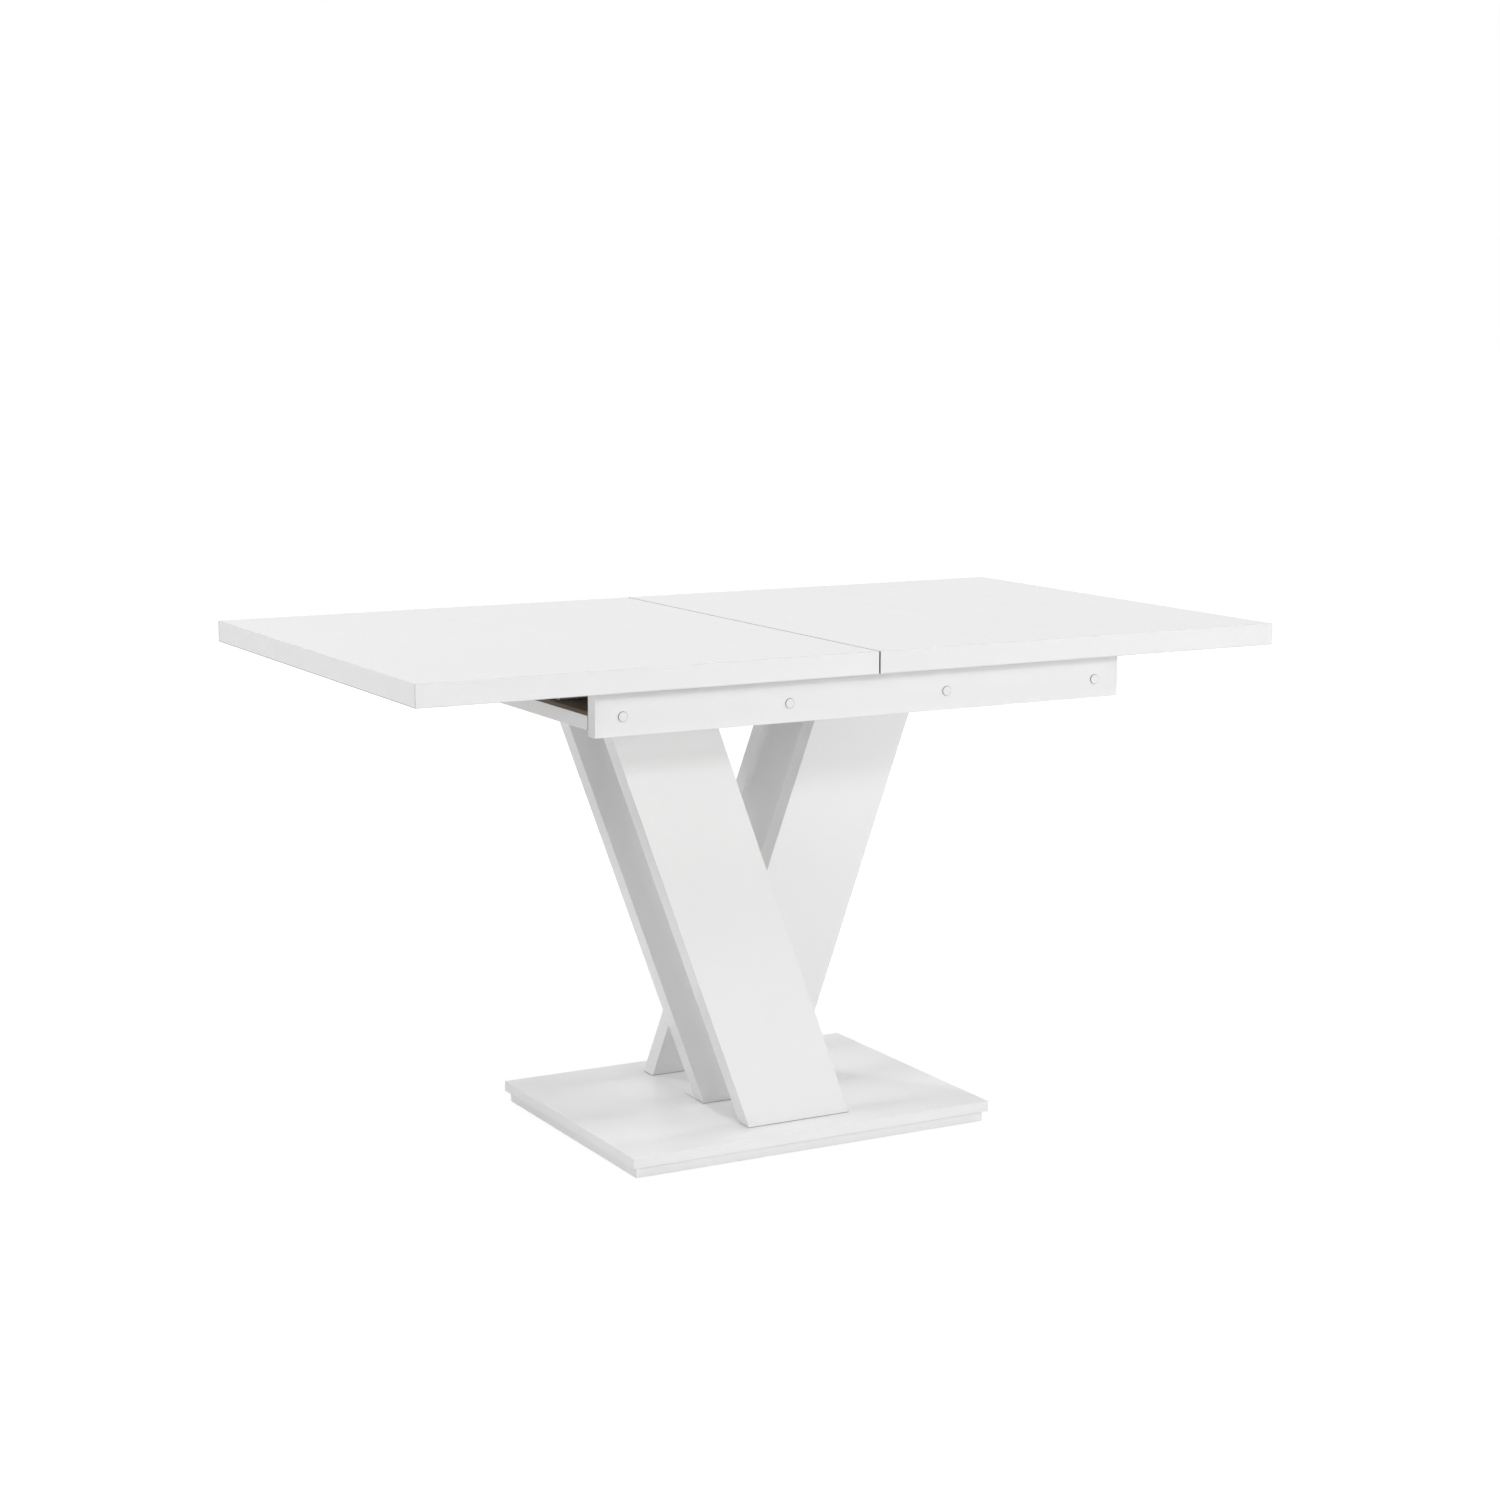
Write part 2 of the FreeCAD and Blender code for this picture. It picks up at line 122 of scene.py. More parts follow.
FLOOR_HALF = 40.0
FLOOR_PALE = (0.9, 0.9, 0.9, 1)
FLOOR_SHADE = (0.22, 0.22, 0.22, 1)     # the part of its white that a shadow takes away
GLOW_RISE = (0.8, 2.2)                  # from the table's middle
GLOW_NEAR, GLOW_FAR = 0.84, 1.0
floor_mesh = bpy.data.meshes.new("floor")
corners = [(x * FLOOR_HALF, y * FLOOR_HALF, 0) for x, y in ((-1, -1), (1, -1), (1, 1), (-1, 1))]
floor_mesh.from_pydata(corners, [], [(0, 1, 2, 3)])
floor = bpy.data.objects.new("floor", floor_mesh)
scene.collection.objects.link(floor)
floor_material = bpy.data.materials.new("floor")
floor_material.use_nodes = True
ground = floor_material.node_tree
ground.nodes.clear()
matt = ground.nodes.new("ShaderNodeBsdfDiffuse")
matt.inputs["Color"].default_value = FLOOR_PALE
shadowed = ground.nodes.new("ShaderNodeBsdfDiffuse")
shadowed.inputs["Color"].default_value = FLOOR_SHADE
place = ground.nodes.new("ShaderNodeTexCoord")
distance = ground.nodes.new("ShaderNodeVectorMath")
distance.operation = "LENGTH"
ground.links.new(place.outputs["Object"], distance.inputs[0])
rise = ground.nodes.new("ShaderNodeMapRange")
for number, value in enumerate((*GLOW_RISE, GLOW_NEAR, GLOW_FAR), 1):
    rise.inputs[number].default_value = value
ground.links.new(distance.outputs["Value"], rise.inputs[0])
glow = ground.nodes.new("ShaderNodeEmission")
ground.links.new(rise.outputs[0], glow.inputs["Strength"])
bright = ground.nodes.new("ShaderNodeAddShader")
floor_choice = ground.nodes.new("ShaderNodeMixShader")
floor_out = ground.nodes.new("ShaderNodeOutputMaterial")
ground.links.new(shadowed.outputs[0], bright.inputs[0])
ground.links.new(glow.outputs[0], bright.inputs[1])
ground.links.new(seen_directly(ground), floor_choice.inputs[0])
ground.links.new(matt.outputs[0], floor_choice.inputs[1])
ground.links.new(bright.outputs[0], floor_choice.inputs[2])
ground.links.new(floor_choice.outputs[0], floor_out.inputs["Surface"])
floor_mesh.materials.append(floor_material)

# ---- Floor glides -----------------------------------------------------------------------------------
# Six turned discs of dark polyethylene, pressed into seats in the lower plate. They stand 1 mm out
# below it, so the table rests on them and not on the edge of the board.


X, Y, Z = range(3)
SAME_PLACE = 1e-6


class Nodes:
    """A node tree under construction, with short ways to feed its nodes."""

    def add(self, kind, inputs=None, **settings):
        """A node with its settings, and its inputs set or linked."""
        node = self.tree.nodes.new(kind)
        for key, value in settings.items():
            setattr(node, key, value)
        return self.feed(node, inputs or {})

    def feed(self, node, inputs):
        for key, value in inputs.items():
            if isinstance(value, bpy.types.NodeSocket):
                self.tree.links.new(value, node.inputs[key])
            else:
                node.inputs[key].default_value = value
        return node

    def math(self, operation, *values):
        return self.add("ShaderNodeMath", dict(enumerate(values)), operation=operation).outputs[0]


class Finish(Nodes):
    """A material under construction, on the object's own coordinates."""

    def __init__(self, name):
        self.material = bpy.data.materials.new(name)
        self.material.use_nodes = True
        self.tree = self.material.node_tree
        self.shader = self.tree.nodes["Principled BSDF"]
        self.place = self.add("ShaderNodeTexCoord").outputs["Object"]
        self.facing = self.split(self.add("ShaderNodeNewGeometry").outputs["Normal"])

    def set(self, **inputs):
        """Inputs of the shader, with underscores for the spaces in their names."""
        self.feed(self.shader, {key.replace("_", " "): value for key, value in inputs.items()})
        return self.material

    def split(self, vector):
        return self.add("ShaderNodeSeparateXYZ", {0: vector}).outputs

    def moved(self, scale=(1, 1, 1), shift=(0, 0, 0)):
        """The object's coordinates, stretched and shifted for a pattern."""
        inputs = {"Vector": self.place, "Scale": scale, "Location": shift}
        return self.add("ShaderNodeMapping", inputs).outputs[0]

    def noise(self, scale, detail=2.0, vector=None, roughness=0.5, distortion=0.0):
        inputs = {"Vector": vector or self.place, "Scale": scale, "Detail": detail,
                  "Roughness": roughness, "Distortion": distortion}
        return self.add("ShaderNodeTexNoise", inputs).outputs["Fac"]

    def cells(self, scale, vector=None, output="Distance", feature="F1"):
        inputs = {"Vector": vector or self.place, "Scale": scale}
        return self.add("ShaderNodeTexVoronoi", inputs, feature=feature).outputs[output]

    def spread(self, value, low, high, to_low=0.0, to_high=1.0):
        """Maps a range of a pattern to another range, and holds it at the ends."""
        inputs = {0: value, 1: low, 2: high, 3: to_low, 4: to_high}
        return self.add("ShaderNodeMapRange", inputs).outputs[0]

    def blend(self, factor, first, second):
        return self.add("ShaderNodeMix", {0: factor, 6: first, 7: second}, data_type="RGBA").outputs[2]

    def bump(self, height, depth, strength=1.0, after=None):
        inputs = {"Height": height, "Distance": depth, "Strength": strength}
        if after:
            inputs["Normal"] = after
        return self.add("ShaderNodeBump", inputs).outputs[0]


class Pattern(Nodes):
    """A Geometry Nodes tree under construction, whose sizes are named inputs in metres."""

    def __init__(self, name):
        self.tree = bpy.data.node_groups.new(name, "GeometryNodeTree")
        self.entry = self.tree.nodes.new("NodeGroupInput")
        for way in ("INPUT", "OUTPUT"):
            self.tree.interface.new_socket("Geometry", in_out=way, socket_type="NodeSocketGeometry")
        self.sizes = {}

    def size(self, name, value):
        """A named input, and the value that the modifier gives it."""
        socket = self.tree.interface.new_socket(name, in_out="INPUT", socket_type="NodeSocketFloat")
        self.sizes[socket.identifier] = value
        return self.entry.outputs[name]

    def pick(self, number, values):
        """The value at a place in a list."""
        node = self.add("GeometryNodeIndexSwitch", data_type="FLOAT")
        while len(node.index_switch_items) < len(values):
            node.index_switch_items.new()
        return self.feed(node, {0: number, **{k + 1: v for k, v in enumerate(values)}}).outputs[0]

    def turned(self, rings, sides, shape):
        """A closed skin about Z, whose radius and height follow from ring number and angle."""
        seam = sides + 1
        grid = self.add("GeometryNodeMeshGrid", {"Vertices X": rings, "Vertices Y": seam})
        number = self.add("GeometryNodeInputIndex").outputs[0]
        step = self.math("MODULO", number, seam)
        ring = self.math("ROUND", self.math("DIVIDE", self.math("SUBTRACT", number, step), seam))
        angle = self.math("MULTIPLY", step, 2 * math.pi / sides)
        radius, height = shape(ring, angle)
        x = self.math("MULTIPLY", radius, self.math("COSINE", angle))
        y = self.math("MULTIPLY", radius, self.math("SINE", angle))
        place = self.add("ShaderNodeCombineXYZ", {0: x, 1: y, 2: height}).outputs[0]
        skin = self.add("GeometryNodeSetPosition", {"Geometry": grid.outputs["Mesh"], "Position": place})
        closed = self.add("GeometryNodeMergeByDistance",
                          {"Geometry": skin.outputs[0], "Distance": SAME_PLACE})
        return self.add("GeometryNodeFlipFaces", {"Mesh": closed.outputs[0]}).outputs[0]

    def end(self, unit, material, seed):
        """Sets the unit at each point, along the point's own way and turned at random about it."""
        way = self.add("GeometryNodeInputNamedAttribute", {"Name": "toward"}, data_type="FLOAT_VECTOR")
        facing = self.add("FunctionNodeAlignRotationToVector", {"Vector": way.outputs[0]}, axis="Z")
        angle = self.add("FunctionNodeRandomValue", {2: 0.0, 3: 2 * math.pi, "Seed": seed},
                         data_type="FLOAT")
        spin = self.add("FunctionNodeAxisAngleToRotation", {"Axis": (0, 0, 1), "Angle": angle.outputs[1]})
        turn = self.add("FunctionNodeRotateRotation", {0: facing.outputs[0], 1: spin.outputs[0]},
                        rotation_space="LOCAL")
        each = self.add("GeometryNodeInstanceOnPoints", {"Points": self.entry.outputs["Geometry"],
                                                         "Instance": unit, "Rotation": turn.outputs[0]})
        real = self.add("GeometryNodeRealizeInstances", {0: each.outputs[0]})
        dressed = self.add("GeometryNodeSetMaterial", {"Geometry": real.outputs[0], "Material": material})
        self.add("NodeGroupOutput", {0: dressed.outputs[0]})
        return self


def turning(name, outline, radius, depth, material, sides=48, flutes=0, flute_depth=0.0, seed=1):
    """A turned piece. Its outline holds shares of the radius and the depth, from its start on."""
    p = Pattern(name)
    wide = p.size("Radius", radius)
    deep = p.size("Depth", depth)
    groove = p.size("Flute Depth", flute_depth)

    def shape(ring, angle):
        wave = p.math("PINGPONG", p.math("MULTIPLY", angle, flutes / math.pi), 1.0)
        dip = p.math("MULTIPLY", groove, wave)
        reach = p.math("SUBTRACT", wide, dip)
        return (p.math("MULTIPLY", reach, p.pick(ring, [share for share, along in outline])),
                p.math("MULTIPLY", deep, p.pick(ring, [along for share, along in outline])))

    return p.end(p.turned(len(outline), sides, shape), material, seed)


def solid_boxes(node):
    """The lowest and highest corner of each separate solid in a CAD node."""
    work = bmesh.new()
    work.from_mesh(nodes[node].data)
    bmesh.ops.remove_doubles(work, verts=work.verts, dist=SAME_PLACE)
    boxes, seen = [], set()
    for first in work.verts:
        if first in seen:
            continue
        seen.add(first)
        reached = [first]
        for vertex in reached:
            for edge in vertex.link_edges:
                other = edge.other_vert(vertex)
                if other not in seen:
                    seen.add(other)
                    reached.append(other)
        places = [vertex.co.copy() for vertex in reached]
        boxes.append([Vector(limit(p[axis] for p in places) for axis in range(3)) for limit in (min, max)])
    work.free()
    return boxes


SMOOTH_WITHIN = math.radians(50)
ROUNDING_STEPS = 2


def shown(name, mesh, rounding=0.0):
    """A mesh as an object at the origin: its edges rounded, its flats kept flat by their normals."""
    mesh.polygons.foreach_set("use_smooth", [True] * len(mesh.polygons))
    mesh.set_sharp_from_angle(angle=SMOOTH_WITHIN)
    made = bpy.data.objects.new(name, mesh)
    scene.collection.objects.link(made)
    if rounding:
        bevel = made.modifiers.new("rounding", "BEVEL")
        bevel.width = rounding
        bevel.segments = ROUNDING_STEPS
        bevel.angle_limit = SMOOTH_WITHIN
    weighting = made.modifiers.new("weighting", "WEIGHTED_NORMAL")
    weighting.keep_sharp = True
    return plain_mesh(made)


def plain_mesh(made):
    """Turns what an object's modifiers make into its own mesh."""
    plain = bpy.data.meshes.new_from_object(made.evaluated_get(bpy.context.evaluated_depsgraph_get()))
    made.modifiers.clear()
    made.data = plain
    plain.name = made.name
    return made


def grown(node, body, toward, pattern):
    """Shows a pattern's unit for each solid of a CAD node, from its start and along its way."""
    starts, ways = [], []
    for low, high in solid_boxes(node):
        middle = (low + high) / 2
        way = Vector(toward(middle))
        starts.append([m - w * (h - l) / 2 for m, w, h, l in zip(middle, way, high, low)])
        ways.extend(way)
    points = bpy.data.meshes.new(node + "_points")
    points.from_pydata(starts, [], [])
    points.attributes.new("toward", "FLOAT_VECTOR", "POINT").data.foreach_set("vector", ways)
    sprout = bpy.data.objects.new(node + "_points", points)
    scene.collection.objects.link(sprout)
    growth = sprout.modifiers.new("growth", "NODES")
    growth.node_group = pattern.tree
    for identifier, value in pattern.sizes.items():
        growth[identifier] = value
    mesh = plain_mesh(sprout).data
    bpy.data.objects.remove(sprout)
    mesh.attributes.remove(mesh.attributes["toward"])
    made = shown(node + "_detailed", mesh)
    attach(made, body)
    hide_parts(node)
    return made


def upward(middle):
    """The way of a piece that points up, wherever its middle lies."""
    return (0, 0, 1)


GLIDE_DARK = (0.028, 0.028, 0.030, 1)
GLIDE_SCUFFED = (0.085, 0.084, 0.082, 1)
GLIDE_GLOSS = (0.42, 0.55)              # roughness, as for every gloss below
GLIDE_GRAIN_DEPTH = 0.00005


def glide_plastic():
    """Polyethylene with a fine moulded grain, scuffed paler here and there."""
    f = Finish("glide_polyethylene")
    scuff = f.spread(f.noise(160.0, 5.0, f.moved((1, 0.3, 1)), 0.7), 0.5, 0.75)
    grain = f.noise(3200.0, 2.0)
    colour = f.blend(scuff, GLIDE_DARK, GLIDE_SCUFFED)
    rough = f.math("ADD", f.spread(grain, 0.3, 0.7, *GLIDE_GLOSS), f.math("MULTIPLY", scuff, 0.15))
    return f.set(Base_Color=colour, Roughness=rough, Normal=f.bump(grain, GLIDE_GRAIN_DEPTH, 0.5))


GLIDE_RADIUS, GLIDE_THICKNESS = 0.012, 0.003
GLIDE_OUTLINE = ((0, 0), (0.78, 0), (0.90, 0.04), (0.97, 0.16), (1, 0.34), (1, 1), (0, 1))
grown("floor_glides", "frame", upward,
      turning("glide", GLIDE_OUTLINE, GLIDE_RADIUS, GLIDE_THICKNESS, glide_plastic()))

# ---- Base ---------------------------------------------------------------------------------------------
# Two particle boards faced with high-gloss white laminate, the lower one set back under the upper so
# that a shadow line runs between them. They are glued and screwed together from below.

LAMINATE_WHITE = (0.866, 0.866, 0.868, 1)
LAMINATE_WARM = (0.850, 0.849, 0.848, 1)
BACKING_WHITE = (0.80, 0.80, 0.785, 1)
LACQUER_GLOSS = (0.13, 0.16)            # where polished, and where wiped
BASE_GLOSS = (0.32, 0.44)
CHIP_PALE = (0.60, 0.45, 0.29, 1)
CHIP_DARK = (0.30, 0.19, 0.10, 1)
CHIP_GLUE = (0.43, 0.31, 0.19, 1)
# Painted shade: a near-black line where boards meet, for the shadow in the gap there.
PAINTED_JOINT_SHADE = (0.03, 0.03, 0.028, 1)
LACQUER_IOR = 1.48
PATCH_SCALE = 2.3
HAZE_SCALE = 9.0
WAVE_SCALE, WAVE_DEPTH = 60.0, 0.000012
PORE_SCALE, PORE_DEPTH = 600.0, 0.000002
CHIP_SCALE, CHIP_FLATNESS, CHIP_DEPTH = 330.0, 2.6, 0.0004
PAPER_FIBRE_DEPTH, BOARD_FIBRE_DEPTH = 0.00006, 0.0001


def printed_white(f, moved):
    """The white of the laminate's paper, a little warmer in wide soft patches."""
    return f.blend(f.spread(f.noise(PATCH_SCALE, 3.0, moved), 0.35, 0.65), LAMINATE_WHITE, LAMINATE_WARM)


def laminate(name, shift, gloss=LACQUER_GLOSS, matt_below=False, raw_edges=False, raw_above=None,
             shaded_joint=None):
    """White laminate under clear lacquer: faintly wavy from the chips below, with wiped haze.

    A board's underside may have matt backing paper instead, and its sawn edges or its upper face, in
    two browns, may stay bare. A shaded joint is an axis, a place on it and the width of a near-black
    line of painted shade there, for the shadow in the gap.
    """
    f = Finish(name)
    moved = f.moved(shift=(shift, shift / 2, shift / 3))
    colour = printed_white(f, moved)
    haze = f.noise(HAZE_SCALE, 5.0, f.moved((1, 0.25, 1), (shift, 0, 0)), 0.6, 0.6)
    rough = f.spread(haze, 0.35, 0.75, *gloss)
    surface = f.bump(f.noise(WAVE_SCALE, 2.0, moved), WAVE_DEPTH, 0.5)
    surface = f.bump(f.noise(PORE_SCALE, 1.0, moved), PORE_DEPTH, 0.4, surface)
    if matt_below:
        below = f.spread(f.facing[Z], -0.6, -0.4, 1.0, 0.0)
        fibre = f.noise(1400.0, 3.0, moved)
        colour = f.blend(below, colour, f.blend(fibre, BACKING_WHITE, LAMINATE_WARM))
        rough = f.math("ADD", rough, f.math("MULTIPLY", below, 0.42))
        surface = f.bump(f.math("MULTIPLY", fibre, below), PAPER_FIBRE_DEPTH, 0.5, surface)
    if raw_edges:
        sawn = f.spread(f.math("ABSOLUTE", f.facing[Z]), 0.45, 0.55, 1.0, 0.0)
        flat = f.moved((1, 1, CHIP_FLATNESS), (shift, shift, 0))
        chips = f.split(f.cells(CHIP_SCALE, flat, "Color"))[0]
        seams = f.spread(f.cells(CHIP_SCALE, flat, "Distance", "DISTANCE_TO_EDGE"), 0.02, 0.14)
        dust_and_rim_shade = f.noise(2600.0, 3.0)
        chip = f.blend(f.math("MULTIPLY", chips, f.spread(dust_and_rim_shade, 0.2, 0.8, 0.6, 1.3)), CHIP_PALE, CHIP_DARK)
        colour = f.blend(sawn, colour, f.blend(seams, CHIP_GLUE, chip))
        rough = f.math("ADD", rough, f.math("MULTIPLY", sawn, 0.7))
        hollow = f.math("MULTIPLY", f.math("MULTIPLY", seams, chips), sawn)
        surface = f.bump(hollow, CHIP_DEPTH, 0.8, surface)
    if raw_above:
        above = f.spread(f.facing[Z], 0.6, 0.8)
        hairs = f.noise(1100.0, 4.0, f.moved((1, 0.3, 1)), 0.75, 1.5)
        clouds = f.spread(f.noise(40.0, 3.0, moved), 0.3, 0.7, 0.25, 0.75)
        mix = f.math("MULTIPLY", f.spread(hairs, 0.3, 0.7, 0.5, 1.3), clouds)
        fibres = f.blend(mix, *raw_above)
        colour = f.blend(above, colour, fibres)
        rough = f.math("ADD", rough, f.math("MULTIPLY", above, 0.6))
        surface = f.bump(f.math("MULTIPLY", hairs, above), BOARD_FIBRE_DEPTH, 0.6, surface)
    if shaded_joint:
        axis, height, width = shaded_joint
        away = f.math("ABSOLUTE", f.math("SUBTRACT", f.math("ABSOLUTE", f.split(f.place)[axis]), height))
        colour = f.blend(f.spread(away, 0.8 * width, width, 1.0, 0.0), colour, PAINTED_JOINT_SHADE)
    return f.set(Base_Color=colour, Roughness=rough, Normal=surface, IOR=LACQUER_IOR)


FLAT_WITHIN = math.radians(1)


def cover(node, body, material, rounding=0.0):
    """Shows a merged copy of a CAD node in its place, with smooth small bevels."""
    work = bmesh.new()
    work.from_mesh(nodes[node].data)
    bmesh.ops.remove_doubles(work, verts=work.verts, dist=SAME_PLACE)
    if rounding:
        bmesh.ops.dissolve_limit(work, angle_limit=FLAT_WITHIN, verts=work.verts, edges=work.edges)
    mesh = bpy.data.meshes.new(node + "_faced")
    work.to_mesh(mesh)
    work.free()
    made = shown(node + "_faced", mesh, rounding)
    made.data.materials.clear()
    made.data.materials.append(material)
    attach(made, body)
    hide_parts(node)
    return made


# Painted shade: a near-black line on the lower plate's top edge, for the shadow in the joint under the upper
# plate.
PLATE_JOINT_SHADE = (Z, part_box("base_plate_lower")[1][Z], 0.0012)
cover("base_plate_lower", "frame",
      laminate("base_lower_laminate", shift=3.1, gloss=BASE_GLOSS, matt_below=True, shaded_joint=PLATE_JOINT_SHADE))
cover("base_plate_upper", "frame", laminate("base_upper_laminate", shift=4.7, gloss=BASE_GLOSS))

# ---- Screws of the base -------------------------------------------------------------------------------
# Zinc-plated steel. Four cross-head wood screws draw the two plates together, and two connector
# screws with hexagon sockets go up through both into the foot of each pedestal board.


ZINC_GREY = (0.60, 0.63, 0.66, 1)
ZINC_BLOOM = (0.73, 0.72, 0.66, 1)
ZINC_GLOSS = (0.22, 0.42)
DIE_MARK_DEPTH = 0.00003


def zinc_plate():
    """Zinc on steel: grey with a yellowish bloom, and fine marks from the die that rolled it."""
    f = Finish("zinc_plate")
    bloom = f.spread(f.noise(240.0, 4.0, roughness=0.6), 0.35, 0.65)
    colour = f.blend(bloom, ZINC_GREY, ZINC_BLOOM)
    rough = f.spread(f.noise(1300.0, 3.0), 0.3, 0.7, *ZINC_GLOSS)
    marks = f.bump(f.noise(2600.0), DIE_MARK_DEPTH, 0.4)
    return f.set(Base_Color=colour, Metallic=1.0, Roughness=rough, Normal=marks)


zinc = zinc_plate()
COUNTERSUNK = ((0, 0), (0.95, 0), (1, 0.04), (1, 0.15), (0.64, 0.98))
PAN = ((0, 0), (0.40, 0.03), (0.72, 0.18), (0.91, 0.42), (1, 0.80), (0.98, 1), (0.58, 1))
SCREW_SIDES = 20
ROWS_PER_TURN = 5
THREAD_DEPTH, POINT_LENGTH, BLADE_WIDTH = 0.2, 1.5, 0.2     # shares of the shank and the cross


def screw(name, outline, recess, head, sink, shank, length, pitch, seed):
    """A screw from its head on, with a recess for the driver and a thread that winds to its point."""
    kind, recess_across, recess_deep = recess
    p = Pattern(name)
    head_radius = p.size("Head Radius", head)
    head_depth = p.size("Head Depth", sink)
    shank_radius = p.size("Shank Radius", shank)
    reach = p.size("Length", length)
    winding = p.size("Thread Pitch", pitch)
    groove = p.size("Thread Depth", THREAD_DEPTH * shank)
    point = p.size("Point Length", POINT_LENGTH * shank)
    recess_width = p.size("Recess Width", recess_across)
    recess_depth = p.size("Recess Depth", recess_deep)
    rows = math.ceil((length - sink) / pitch * ROWS_PER_TURN)

    def shape(ring, angle):
        run = p.math("DIVIDE", p.math("SUBTRACT", ring, len(outline)), rows)
        depth = p.math("ADD", head_depth, p.math("MULTIPLY", run, p.math("SUBTRACT", reach, head_depth)))
        turns = p.math("SUBTRACT", p.math("DIVIDE", depth, winding), p.math("DIVIDE", angle, 2 * math.pi))
        ridge = p.math("PINGPONG", turns, 0.5)
        thread = p.math("SUBTRACT", shank_radius, p.math("MULTIPLY", groove, p.math("MULTIPLY", ridge, 2)))
        taper = p.math("MINIMUM", p.math("DIVIDE", p.math("SUBTRACT", reach, depth), point), 1)
        in_head = p.math("LESS_THAN", ring, len(outline) - 0.5)
        radius = p.add("GeometryNodeSwitch", {
            0: in_head, 1: p.math("MULTIPLY", thread, p.math("MAXIMUM", taper, 0)),
            2: p.math("MULTIPLY", head_radius, p.pick(ring, [share for share, along in outline]))},
            input_type="FLOAT")
        height = p.add("GeometryNodeSwitch", {
            0: in_head, 1: depth,
            2: p.math("MULTIPLY", head_depth, p.pick(ring, [along for share, along in outline]))},
            input_type="FLOAT")
        return radius.outputs[0], height.outputs[0]

    body = p.turned(len(outline) + rows + 1, SCREW_SIDES, shape)
    sunk = p.math("MULTIPLY", recess_depth, 2)
    if kind == "hexagon":
        drivers = [p.add("GeometryNodeMeshCylinder", {"Vertices": 6, "Radius": recess_width, "Depth": sunk})]
    else:
        blade = p.math("MULTIPLY", recess_width, BLADE_WIDTH)
        drivers = [p.add("GeometryNodeMeshCube", {"Size": p.add("ShaderNodeCombineXYZ", sizes).outputs[0]})
                   for sizes in ({0: recess_width, 1: blade, 2: sunk}, {0: blade, 1: recess_width, 2: sunk})]
    sinking = p.add("GeometryNodeMeshBoolean", {"Mesh 1": body}, operation="DIFFERENCE", solver="EXACT")
    for driver in drivers:
        p.tree.links.new(driver.outputs["Mesh"], sinking.inputs["Mesh 2"])
    return p.end(sinking.outputs["Mesh"], zinc, seed)


WOOD_HEAD, WOOD_SINK, WOOD_SHANK, WOOD_PITCH = 0.004, 0.0026, 0.002, 0.0018
CONNECTOR_HEAD, CONNECTOR_SINK, CONNECTOR_SHANK, CONNECTOR_PITCH = 0.005, 0.0035, 0.0032, 0.003
CROSS = ("cross", 0.0042, 0.0016)
HEXAGON = ("hexagon", 0.0023, 0.0025)


def length_along(node, axis):
    low, high = solid_boxes(node)[0]
    return high[axis] - low[axis]


def wood_screw(name, length, seed):
    return screw(name, COUNTERSUNK, CROSS, WOOD_HEAD, WOOD_SINK, WOOD_SHANK, length, WOOD_PITCH, seed)


def connector_screw(name, length, seed):
    return screw(name, COUNTERSUNK, HEXAGON, CONNECTOR_HEAD, CONNECTOR_SINK, CONNECTOR_SHANK, length,
                 CONNECTOR_PITCH, seed)


grown("base_plate_screws", "frame", upward,
      wood_screw("plate_screw", length_along("base_plate_screws", Z), seed=11))
grown("leg_foot_screws", "frame", upward,
      connector_screw("foot_screw", length_along("leg_foot_screws", Z), seed=12))

# ---- Pedestal ---------------------------------------------------------------------------------------
# Four doubled boards in the same laminate, cut to a lean and edged all round. The two in the middle
# lie back to back on two fluted beech dowels, and each is screwed down through the shelf as well.


BEECH_PALE = (0.66, 0.45, 0.28, 1)
BEECH_BROWN = (0.55, 0.35, 0.20, 1)
BEECH_FLECK = (0.33, 0.17, 0.08, 1)
BEECH_GLOSS = (0.45, 0.62)
BEECH_PORE_DEPTH = 0.00008


def beech(name, grain, shift=0.0):
    """Bare planed beech: short dark flecks and soft bands that run with the grain."""
    f = Finish(name)
    stretched = [0.07 if axis == grain else 1 for axis in range(3)]
    drawn = [0.03 if axis == grain else 1 for axis in range(3)]
    bands = f.spread(f.noise(75.0, 4.0, f.moved(stretched, (shift, shift, shift)), 0.6, 0.5), 0.3, 0.7)
    flecks = f.spread(f.noise(1500.0, 1.0, f.moved(drawn)), 0.60, 0.70)
    fibre = f.noise(2600.0, 2.0, f.moved(drawn))
    colour = f.blend(bands, BEECH_PALE, BEECH_BROWN)
    colour = f.blend(f.math("MULTIPLY", flecks, 0.75), colour, BEECH_FLECK)
    rough = f.spread(fibre, 0.2, 0.8, *BEECH_GLOSS)
    surface = f.bump(f.math("SUBTRACT", fibre, flecks), BEECH_PORE_DEPTH, 0.6)
    return f.set(Base_Color=colour, Roughness=rough, Normal=surface)


DOWEL_OUTLINE = ((0, 0), (0.78, 0), (1, 0.05), (1, 0.95), (0.78, 1), (0, 1))
DOWEL_FLUTES = 20
FLUTE_DEPTH = 0.0003


def fluted_dowel(node, axis, seed):
    """A dowel of a CAD node's size, chamfered at both ends and fluted for the glue."""
    low, high = solid_boxes(node)[0]
    radius = (high[Z] - low[Z]) / 2
    return turning(node + "_unit", DOWEL_OUTLINE, radius, high[axis] - low[axis],
                   beech(node + "_beech", axis), 4 * DOWEL_FLUTES, DOWEL_FLUTES, FLUTE_DEPTH, seed)


def along_y(middle):
    return (0, 1, 0)


def downward(middle):
    return (0, 0, -1)


